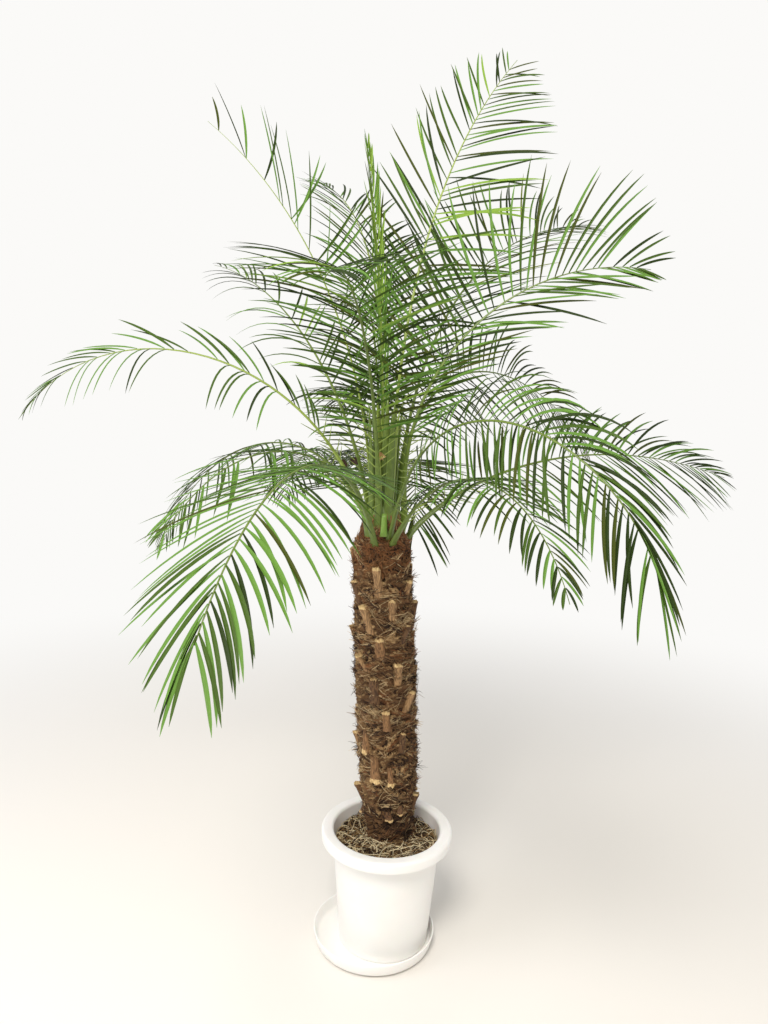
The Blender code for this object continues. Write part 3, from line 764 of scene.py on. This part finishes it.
def rib_frame(frond, share):
    """Direction, sideways and upper-face vectors of the rib at a share of its length."""
    turn = math.radians(frond.heading + frond.sweep * share ** 1.5)
    lift = math.radians(frond.rise - frond.droop * share ** frond.bend)
    along = Vector((math.cos(lift) * math.cos(turn), math.cos(lift) * math.sin(turn),
                    math.sin(lift)))
    side = level_side(turn)
    upper = along.cross(side)
    tilt = math.radians(frond.roll)
    turned_side = side * math.cos(tilt) + upper * math.sin(tilt)
    return along, turned_side, along.cross(turned_side)


stem_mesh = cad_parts["trunk"].data
stem_tree = BVHTree.FromPolygons([vert.co.copy() for vert in stem_mesh.vertices],
                                 [tuple(face.vertices) for face in stem_mesh.polygons])


def clearance(point):
    """How far a point lies outside the stem, below zero inside it."""
    spot, normal, _, distance = stem_tree.find_nearest(point)
    return distance if (point - spot).dot(normal) > 0 else -distance


def rib_points(frond):
    """Points down the rib's curve, from where its butt end just clears the heart."""
    lift = math.radians(frond.seat)
    turn = math.radians(frond.heading)
    outward = Vector((math.cos(turn) * math.cos(lift), math.sin(turn) * math.cos(lift),
                      math.sin(lift)))
    start = trunk_centre(TRUNK_TOP) + Vector((
        HEART_RADIUS * math.cos(lift) * math.cos(turn),
        HEART_RADIUS * math.cos(lift) * math.sin(turn), HEART_HEIGHT * math.sin(lift)))
    start = start - outward * 0.1 * HEART_HEIGHT
    _, side, upper = rib_frame(frond, 0)
    nearest = -1.0
    while nearest < GAP:
        start = start + outward * (GAP / 3)
        nearest = min(clearance(start + side * CAD_RIB_WIDTH * a + upper * CAD_RIB_THICK * b)
                      for a in (-0.5, 0, 0.5) for b in (-0.5, 0, 0.5))
    spots = [start]
    for i in range(RIB_STEPS):
        along, _, _ = rib_frame(frond, (i + 0.5) / RIB_STEPS)
        spots.append(spots[-1] + along * frond.length / RIB_STEPS)
    return spots


def rib_at(spots, share):
    """Point on a rib's curve at a share of its length."""
    place = share * RIB_STEPS
    low = min(int(place), RIB_STEPS - 1)
    return spots[low].lerp(spots[low + 1], place - low)


# rib: living tissue, smooth and waxy with faint streaks of about eight millimetres; light
# yellow green, the fuller green of the older petioles, and the fresh green of a cut one
RIB_GRAIN = dict(size=(8.33, 8.33, 8.33), detail=4.0, ramp=(0.0, 1.0), rough=0.42,
                 bump=(0.15, 0.0004))
rib_light, rib_green, rib_cut = [grained(*row, **RIB_GRAIN) for row in (
    ("rib_light", "#97aa50", "#6f8232"), ("rib_green", "#74893a", "#3f5018"),
    ("rib_cut", "#7b9a3e", "#55742a"))]


def add_rib(points, faces, kinds, stations, kind):
    """Add a closed rib through stations of (centre, side, upper face, width, thickness)."""
    first = len(points)
    for spot, side, upper, width, thick in stations:
        for k in range(RIB_SIDES):
            angle = math.tau * (k + 0.5) / RIB_SIDES
            across, deep = math.cos(angle), math.sin(angle)
            hollow = 0.45 if deep > 0.5 and abs(across) < 0.4 else 0.75
            level = deep * (hollow if deep > 0 else 1.0)
            points.append(spot + side * across * width / 2 + upper * level * thick / 2)
    add_skin(faces, first, len(stations), RIB_SIDES)
    faces.append(tuple(first + k for k in reversed(range(RIB_SIDES))))
    faces.append(tuple(first + (len(stations) - 1) * RIB_SIDES + k for k in range(RIB_SIDES)))
    kinds += [kind] * (len(faces) - len(kinds))


points, faces, kinds = [], [], []
rib_paths = {}
for frond in FRONDS:
    spots = rib_points(frond)
    rib_paths[frond.name] = spots
    along, outer_side, _ = rib_frame(frond, 0)
    turn = math.radians(frond.heading)
    inner = HEART_RADIUS * (0.30 + 0.42 * math.cos(math.radians(frond.seat)))
    root = trunk_centre(TRUNK_TOP) + inner * level_out(turn)
    root.z = TRUNK_TOP - 0.020 + 0.030 * math.sin(math.radians(frond.seat))
    knee = spots[0] - along * min(0.035, (spots[0] - root).length * 0.6)
    wide = level_side(turn)
    stations = []
    for i in range(SHEATH_RINGS):
        t = i / SHEATH_RINGS
        spot = root * (1 - t) ** 2 + knee * 2 * t * (1 - t) + spots[0] * t * t
        along = ((knee - root) * (1 - t) + (spots[0] - knee) * t).normalized()
        side = wide.lerp(outer_side, t)
        side = (side - along * side.dot(along)).normalized()
        width = SHEATH_WIDTH + (RIB_WIDTHS[0][1] - SHEATH_WIDTH) * t
        stations.append((spot, side, along.cross(side), width, SHEATH_THICK))
    for i in range(RIB_RINGS):
        share = (i / (RIB_RINGS - 1)) ** 1.15 * BLUNT.get(frond.name, 1.0)
        _, side, upper = rib_frame(frond, share)
        width = between(RIB_WIDTHS, share)
        stations.append((rib_at(spots, share), side, upper, width, width * RIB_FLATNESS))
    bright = frond.seat > 60 or frond.name == "frond_left_arch"
    add_rib(points, faces, kinds, stations, 0 if bright else 1)

# the petiole of a frond that was cut off at the front, still green
stations = []
for i in range(7):
    t = i / 6
    height = TRUNK_TOP + 0.018 + 0.040 * t
    spot = trunk_centre(height) + Vector((0.003, -0.049 + 0.008 * t, 0))
    stations.append((spot, Vector((1, 0, 0)), Vector((0, 1, -0.2)).normalized(),
                     0.0155 - 0.0060 * t ** 0.6, 0.009 - 0.004 * t))
add_rib(points, faces, kinds, stations, 2)
ribs = mesh_object("frond_ribs", points, faces, [rib_light, rib_green, rib_cut], kinds)
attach(ribs, "root")

# Spines at the foot of the ribs
# The lowest leaflets of each frond are stiff green spines, short and set wide apart. They
# grow from the edges of the petiole.
SPINE_PAIRS = 5
SPINE_THICK = 0.0022

dice = random.Random(41)
points, faces = [], []
for frond in FRONDS:
    spots = rib_paths[frond.name]
    for i in range(SPINE_PAIRS):
        for sign in (-1, 1):
            share = BARE_SHARE * (0.48 + 0.12 * i + dice.uniform(-0.03, 0.03))
            along, side, upper = rib_frame(frond, share)
            spot = rib_at(spots, share) + side * sign * 0.0035
            way = (along * dice.uniform(0.5, 0.9) + side * sign + upper * 0.25).normalized()
            length = dice.uniform(0.016, 0.030) + 0.007 * i
            path = [spot + way * length * t for t in (0.0, 0.35, 0.7, 1.0)]
            add_strand(points, faces, path, SPINE_THICK, 4)
spines = mesh_object("frond_spines", points, faces, [rib_light])
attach(spines, "root")

# Leaflets
# Narrow pointed leaflets, each folded once along its middle, that grow from both edges of the
# rib and hang over at their tips. Those of the youngest frond still lie close to it.
TIP_SHARE = 0.965
PAIR_STEP = 0.0128
LEAF_WIDTH = 0.0055
VEIN_STEP = 0.192               # from vein to vein, in millimetres
LEAF_SAG = 0.45
LEAF_CURL = 14                  # how far a leaflet turns towards the frond's tip, in degrees
LEAF_RINGS = 9
LEAF_STEPS = (-1, -0.5, 0, 0.5, 1)      # from edge to edge
LEAF_WIDTHS = ((0.0, 0.42), (0.08, 0.70), (0.25, 0.96), (0.40, 1.0), (0.60, 0.93),
               (0.80, 0.70), (0.93, 0.38), (1.0, 0.04))


# How the leaflets stand on a frond's left side and on its right side, as it is followed
# outwards: their angle to the rib at its foot, half way and at its tip, their sag, how far
# they are raised, their length, the share of them still there, and their width.
Habit = namedtuple("Habit", "foot middle tip sag lift reach kept width")
HABITS = {
    "frond_spear": ((15, 15, 15, 0.3, 0, 1.0, 1.0, 1.0),) * 2,
    "frond_upper_right": ((48, 43, 34, 0.9, 0, 0.96, 0.8, 0.95), (74, 66, 56, 0.8, 0, 0.95, 0.75, 1.1)),
    "frond_upper_left": ((74, 62, 36, 0.1, 0, 0.92, 0.34, 1.0), (74, 64, 44, 0.1, 0, 0.92, 0.42, 1.0)),
    "frond_right_arch": ((92, 72, 32, 0.2, 0, 1.08, 0.85, 1.1), (50, 38, 24, 1.1, 0, 0.78, 0.9, 1.1)),
    "frond_right_behind": ((76, 62, 38, 0.3, 10, 1.2, 0.8, 0.9), (62, 48, 30, 1.0, 0, 0.9, 0.7, 0.9)),
    "frond_left_upper": ((56, 40, 20, 3.0, 0, 0.85, 0.35, 1.0), (56, 40, 22, 1.2, 0, 0.85, 0.6, 1.0)),
    "frond_left_arch": ((66, 52, 34, 7.0, 0, 0.66, 0.4, 1.0), (40, 28, 14, 0.6, 10, 0.85, 0.6, 1.1)),
    "frond_front_arch": ((76, 60, 42, 0.7, 8, 1.0, 1.0, 1.1), (80, 68, 50, 1.0, 8, 0.95, 0.9, 1.1)),
    "frond_right_front": ((84, 56, -14, 2.4, 48, 0.90, 0.9, 1.1), (74, 62, 36, 1.2, 0, 0.80, 0.9, 1.0)),
    "frond_left_back": ((66, 50, 26, 2.0, 0, 0.90, 0.55, 1.0), (66, 50, 26, 2.4, 0, 0.90, 0.45, 1.0)),
    "frond_front_left": ((72, 50, 22, 2.2, -8, 0.90, 0.40, 1.0), (66, 46, 22, 0.8, 0, 0.85, 0.38, 1.0)),
    "frond_right_low": ((66, 48, 22, 0.8, 0, 1.0, 1.0, 1.1), (66, 48, 24, 1.4, 0, 1.0, 0.9, 1.0)),
    "frond_right_back": ((72, 56, 32, 0.8, 10, 1.0, 0.9, 1.0), (70, 54, 30, 1.4, 0, 1.0, 0.8, 1.0)),
    "frond_back_right_low": ((92, 64, 12, 0.2, 0, 1.12, 1.0, 1.3), (92, 66, 32, 0.2, 0, 1.12, 1.0, 1.3)),
    "frond_front_low": ((84, 62, 28, 0.8, 0, 1.0, 1.0, 1.1), (90, 70, 6, 0.5, 0, 1.04, 1.0, 1.1)),
    "frond_front_right": ((76, 60, 26, 0.8, 10, 0.92, 1.0, 1.0), (80, 62, 30, 1.6, 0, 0.82, 1.0, 1.0)),
}
for name in ("frond_upper_back", "frond_back_arch", "frond_back_middle", "frond_back_low",
             "frond_back_left_low"):
    HABITS[name] = ((68, 50, 30, 1.2, 0, 0.95, 0.85, 0.95),) * 2
# fronds whose leaflets grow longer again at the end, and those whose keep their length there
LONG_ENDED = ("frond_back_right_low", "frond_right_front")
EVEN_ENDED = ("frond_front_low", "frond_upper_left", "frond_left_upper")


def leaf_reach(share):
    """A leaflet's length as a share of the longest, from the first pair to the last."""
    return math.sin(math.pi * (0.17 + 0.66 * share)) ** 0.8


def leaf_material(name, shade, rough):
    """Leaflet skin: one green, with a waxy gloss broken by fine lengthwise veins."""
    made, tree, shader = new_material(name, shade, Roughness=rough, IOR=1.45,
                                      Specular_IOR_Level=0.16)
    across = add_node(tree, "ShaderNodeUVMap", uv_map="blade")
    # the blade is one unit wide there, and a wave repeats every tau / 20
    packed = LEAF_WIDTH * repeats(VEIN_STEP) * math.tau / 20
    stretch = add_node(tree, "ShaderNodeMapping", {"Scale": (packed, 0.6, 1.0)},
                       {"Vector": across.outputs["UV"]})
    veins = add_node(tree, "ShaderNodeTexWave", {"Scale": 1.0, "Distortion": 0.6,
                                                 "Detail": 2.0},
                     {"Vector": stretch.outputs["Vector"]})
    gloss = add_node(tree, "ShaderNodeMapRange", {"To Min": rough - 0.06, "To Max": rough + 0.1},
                     {"Value": veins.outputs["Fac"]})
    bump = add_node(tree, "ShaderNodeBump", {"Strength": 0.25, "Distance": 0.0003},
                    {"Height": veins.outputs["Fac"]})
    tree.links.new(gloss.outputs["Result"], shader.inputs["Roughness"])
    tree.links.new(bump.outputs["Normal"], shader.inputs["Normal"])
    return made


# leaflets: a soft waxy gloss, in greens from the newest growth to the oldest, whose darker
# ones also serve as painted shade and lighter ones as painted light, and a dull yellowing one
leaf_kinds = [leaf_material(*row) for row in (
    ("leaf_new", "#7b9a3c", 0.42), ("leaf_bright", "#5a7f33", 0.38),
    ("leaf_mid", "#3d5518", 0.38), ("leaf_deep", "#25350c", 0.40),
    ("leaf_olive", "#3d4611", 0.44), ("leaf_yellowing", "#6f7a2e", 0.5))]
# how the greens are dealt on each side of the crown: darker greens on the right and at the back
# are painted shade, and lighter greens on the left and in the centre are painted light
MIXES = {
    "young": (5, 4, 1, 0, 0.5, 0), "left": (0, 6, 4, 1.5, 0.6, 0),
    "centre": (1.5, 4, 4, 3, 1.0, 0), "right": (0.1, 3.5, 4, 4, 2, 0.03),
    "back": (0, 1, 4, 4, 3, 0.03),
}


def leaf_mix(frond):
    """Which greens a frond's leaflets are dealt from, with painted light or painted shade by its side of
    the crown.
    """
    if frond.name == "frond_spear":
        return MIXES["young"]
    if frond.name in ("frond_front_low", "frond_front_left", "frond_left_arch",
                      "frond_left_back", "frond_upper_left"):
        return MIXES["left"]
    if frond.name in ("frond_front_arch", "frond_left_upper", "frond_upper_right"):
        return MIXES["centre"]
    return MIXES["back"] if 60 < frond.heading < 150 else MIXES["right"]


def leaflet(frond, habit, spots, share_out, sign, dice):
    """Middle line and frame of one leaflet, or nothing where it would enter the stem."""
    end = BLUNT.get(frond.name, TIP_SHARE)
    share = BARE_SHARE + (end - BARE_SHARE) * share_out
    along, side, upper = rib_frame(frond, share)
    angle = between(((0, habit.foot), (0.5, habit.middle), (1, habit.tip)), share_out)
    angle = math.radians(angle + dice.gauss(0, 3.5))
    curl = math.radians((6 if frond.name == "frond_spear" else LEAF_CURL)
                        * dice.uniform(0.6, 1.3))
    raised = habit.lift * (1.0 - share_out ** 2)
    lift = math.radians(frond.fold + raised + dice.gauss(0, 5))
    out = side * sign * math.cos(lift) + upper * math.sin(lift)
    length = frond.leaf * habit.reach * leaf_reach(share_out) * dice.uniform(0.88, 1.02)
    if frond.name in LONG_ENDED:
        length *= 1.0 + 0.50 * max(0.0, share_out - 0.7) / 0.3
    elif frond.name not in EVEN_ENDED:
        length *= 1.0 - 0.45 * max(0.0, share_out - 0.8) / 0.2
    spot = rib_at(spots, share) + side * sign * between(RIB_WIDTHS, share) * 0.4
    across = along * math.sin(angle) - out * math.cos(angle)
    sag = LEAF_SAG * habit.sag * math.sin(angle) * dice.uniform(0.8, 1.35)
    line = [spot]
    for i in range(1, LEAF_RINGS):
        t = (i - 0.5) / (LEAF_RINGS - 1)
        swung = angle - curl * t
        bent = along * math.cos(swung) + out * math.sin(swung)
        bent = (bent - Vector((0, 0, sag * 1.15 * t ** 1.1))).normalized()
        line.append(line[-1] + bent * length / (LEAF_RINGS - 1))
        axis = trunk_centre(line[-1].z)
        if line[-1].z < TRUNK_TOP and (line[-1] - axis).length < trunk_radius(axis.z) + 0.008:
            return None
    return line, across, upper


def add_blade(points, faces, uvs, line, across, upper, width, twist):
    """Add a leaflet's folded and slightly twisted blade along its middle line."""
    first = len(points)
    for i, spot in enumerate(line):
        t = i / (LEAF_RINGS - 1)
        ahead = (line[min(i + 1, LEAF_RINGS - 1)] - line[max(i - 1, 0)]).normalized()
        wide = (across - ahead * across.dot(ahead)).normalized()
        flat = ahead.cross(wide)
        if flat.dot(upper) < 0:
            flat = -flat
        turned_wide = wide * math.cos(twist * t) + flat * math.sin(twist * t)
        flat = flat * math.cos(twist * t) - wide * math.sin(twist * t)
        half = width / 2 * between(LEAF_WIDTHS, t)
        fold = math.radians(38 - 22 * t)
        for step in LEAF_STEPS:
            rise = math.sin(fold) * half * abs(step) ** 0.8
            points.append(spot + turned_wide * half * step * math.cos(fold) + flat * rise)
    across = len(LEAF_STEPS) - 1
    add_skin(faces, first, LEAF_RINGS, across + 1, closed=False)
    for i in range(LEAF_RINGS - 1):
        low, high = i / (LEAF_RINGS - 1), (i + 1) / (LEAF_RINGS - 1)
        for k in range(across):
            near, far = k / across, (k + 1) / across
            uvs += [near, low, far, low, far, high, near, high]


dice = random.Random(53)
lots = {"leaflets_lower": [], "leaflets_upper": []}
for frond in FRONDS:
    lots["leaflets_upper" if frond.seat > 40 else "leaflets_lower"].append(frond)
for lot, fronds in lots.items():
    points, faces, kinds, uvs = [], [], [], []
    for frond in fronds:
        spots = rib_paths[frond.name]
        mix = leaf_mix(frond)
        pairs = round((TIP_SHARE - BARE_SHARE) * frond.length / PAIR_STEP)
        left, right = [Habit(*row) for row in HABITS[frond.name]]
        for n in range(pairs):
            for sign, habit in ((-1, right), (1, left)):
                share_out = min(max((n + dice.uniform(-0.25, 0.25)) / (pairs - 1), 0.0), 1.0)
                made = leaflet(frond, habit, spots, share_out, sign, dice)
                kind = dice.choices(range(6), mix)[0]
                if dice.random() > habit.kept or made is None:
                    continue
                width = LEAF_WIDTH * habit.width * dice.uniform(0.85, 1.1)
                width *= 0.75 + 0.25 * leaf_reach(share_out)
                add_blade(points, faces, uvs, *made, width, dice.gauss(0, 0.12))
                kinds += [kind] * (len(faces) - len(kinds))
    leaves = mesh_object(lot, points, faces, leaf_kinds, kinds)
    layer = leaves.data.uv_layers.new(name="blade")
    layer.data.foreach_set("uv", uvs)
    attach(leaves, "root")
    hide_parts(*[frond.name for frond in fronds])

# Heart of the crown
# The young sheaths in the middle of the crown, packed into a green cone that closes the top
# of the stem. Torn brown fibre fills the gaps between the petioles round its foot.
HEART_RINGS = 20
HEART_SPOKES = 60
HEART_SUNK = 0.012
COLLAR_STRANDS = 2600
COLLAR_TOP = 0.058
YOUNG_PETIOLES = 13


def heart_radius(height):
    """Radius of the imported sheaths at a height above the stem's top."""
    share = min(max(height / HEART_HEIGHT, 0.0), 1.0)
    return HEART_RADIUS * 0.84 * (1.0 - 0.40 * share ** 0.7) * (1 - share ** 5) ** 0.5


# dry young sheath: warm brown, papery and matt
sheath_dry = fibre_material("sheath_dry", "#7d5733", 0.8)
points, faces, kinds = [], [], []
for ring in range(HEART_RINGS + 1):
    height = -HEART_SUNK + (HEART_HEIGHT + HEART_SUNK) * ring / HEART_RINGS
    centre = trunk_centre(TRUNK_TOP + height)
    for spoke in range(HEART_SPOKES):
        turn = math.tau * spoke / HEART_SPOKES
        flute = 0.0016 * math.sin(turn * 9 + height * 40)
        reach = max(heart_radius(height) + flute, 0.0005)
        points.append(centre + reach * level_out(turn))
add_skin(faces, 0, HEART_RINGS + 1, HEART_SPOKES)
for number, spot in enumerate(points[:HEART_RINGS * HEART_SPOKES]):
    edge = TRUNK_TOP + 0.040 + 0.012 * math.sin((number % HEART_SPOKES) * 2.3)
    kinds.append(1 if spot.z < edge else 0)
faces.append(tuple(reversed(range(HEART_SPOKES))))
faces.append(tuple(HEART_RINGS * HEART_SPOKES + spoke for spoke in range(HEART_SPOKES)))
kinds += [1, 0]
heart = mesh_object("crown_heart", points, faces, [rib_green, sheath_dry], kinds)
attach(heart, "root")

# the young petioles that stand in the middle, still close together
dice = random.Random(59)
points, faces, kinds = [], [], []
for number in range(YOUNG_PETIOLES):
    turn = number * math.radians(GOLDEN_ANGLE)
    out = level_out(turn)
    spread = 0.010 + 0.0012 * number
    tall = dice.uniform(0.15, 0.24)
    stations = []
    for i in range(12):
        t = i / 11
        spot = trunk_centre(TRUNK_TOP) + out * (spread + 0.012 * t * t)
        stations.append((spot + Vector((0, 0, 0.030 + tall * t)), level_side(turn), -out,
                         0.016 * (1 - t ** 3) + 0.002, 0.006 * (1 - t ** 3) + 0.001))
    add_rib(points, faces, kinds, stations, number % 2)
sheaths = mesh_object("young_petioles", points, faces, [rib_green, rib_light], kinds)
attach(sheaths, "root")

# the torn fibre, wound round the foot of the cone
dice = random.Random(61)
points, faces, kinds = [], [], []
for _ in range(COLLAR_STRANDS):
    turn = dice.uniform(0, math.tau)
    height = min(abs(dice.gauss(0, 0.020)), 0.048) - 0.010
    lift = dice.uniform(0.0005, 0.0065 if height > 0.004 else 0.0095)
    slope = dice.gauss(0, 0.9)
    hand = dice.choice((-1, 1))
    length = dice.uniform(0.012, 0.034)
    path = []
    for i in range(7):
        bulge = lift * math.sin(math.pi * (0.1 + 0.75 * i / 6))
        reach = max(heart_radius(height), 0.004) + bulge
        path.append(trunk_centre(TRUNK_TOP + height) + reach * level_out(turn))
        slope += dice.gauss(0, 0.55)
        turn += hand * math.cos(slope) * length / 6 / 0.042
        height += math.sin(slope) * length / 6
        height = min(height, COLLAR_TOP)
    add_strand(points, faces, path, dice.uniform(0.0007, 0.0015))
    kind = dice.choices((0, 1, 2, 3), (2, 6, 3, 1))[0]
    kinds += [kind] * (len(faces) - len(kinds))
collar = mesh_object("crown_collar", points, faces, strand_kinds, kinds)
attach(collar, "root")

# Torn sheaths
# Rags of the papery brown net that joined the petioles when they were young. They cling to
# the petioles a hand's width above the stem.
RAG_RINGS = 9
RAG_ACROSS = 6
RAG_REACH = 0.010
RAG_WIDTH = 0.016

# sheath paper: dry, thin and pale tan, without gloss
rag_paper = fibre_material("sheath_paper", "#b89a68", 0.8)
points, faces, kinds = [], [], []
for name, share, sign in (("frond_front_arch", 0.155, 1), ("frond_left_arch", 0.11, -1),
                          ("frond_left_upper", 0.12, 1)):
    frond = next(row for row in FRONDS if row.name == name)
    along, side, upper = rib_frame(frond, share)
    root = rib_at(rib_paths[name], share) + side * sign * 0.004
    first = len(points)
    for i in range(RAG_RINGS):
        for k in range(RAG_ACROSS):
            t, w = i / (RAG_RINGS - 1), k / (RAG_ACROSS - 1) - 0.5
            torn = noise.noise(Vector((w * 6, share * 90, 4.0))) * t
            spot = root + side * sign * RAG_REACH * t * (1 + torn)
            spot = spot + along * (RAG_WIDTH * w * (1 - 0.5 * t))
            crumple = Vector([noise.noise(Vector((t * 4, w * 5, share * 50 + 7 * axis)))
                              for axis in range(3)])
            points.append(spot + upper * 0.005 * math.sin(5 * t) + crumple * 0.004 * t)
    add_skin(faces, first, RAG_RINGS, RAG_ACROSS, closed=False)
    kind = 0 if name == "frond_front_arch" else 1
    kinds += [kind] * (len(faces) - len(kinds))
rags = mesh_object("torn_sheaths", points, faces, [rag_paper, strand_kinds[0]], kinds)
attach(rags, "root")

# Picture
# Plain colours with no film look, so that the white pot stays white and the shadows between
# the leaflets keep their depth.
scene.view_settings.view_transform = "Standard"
scene.view_settings.look = "None"
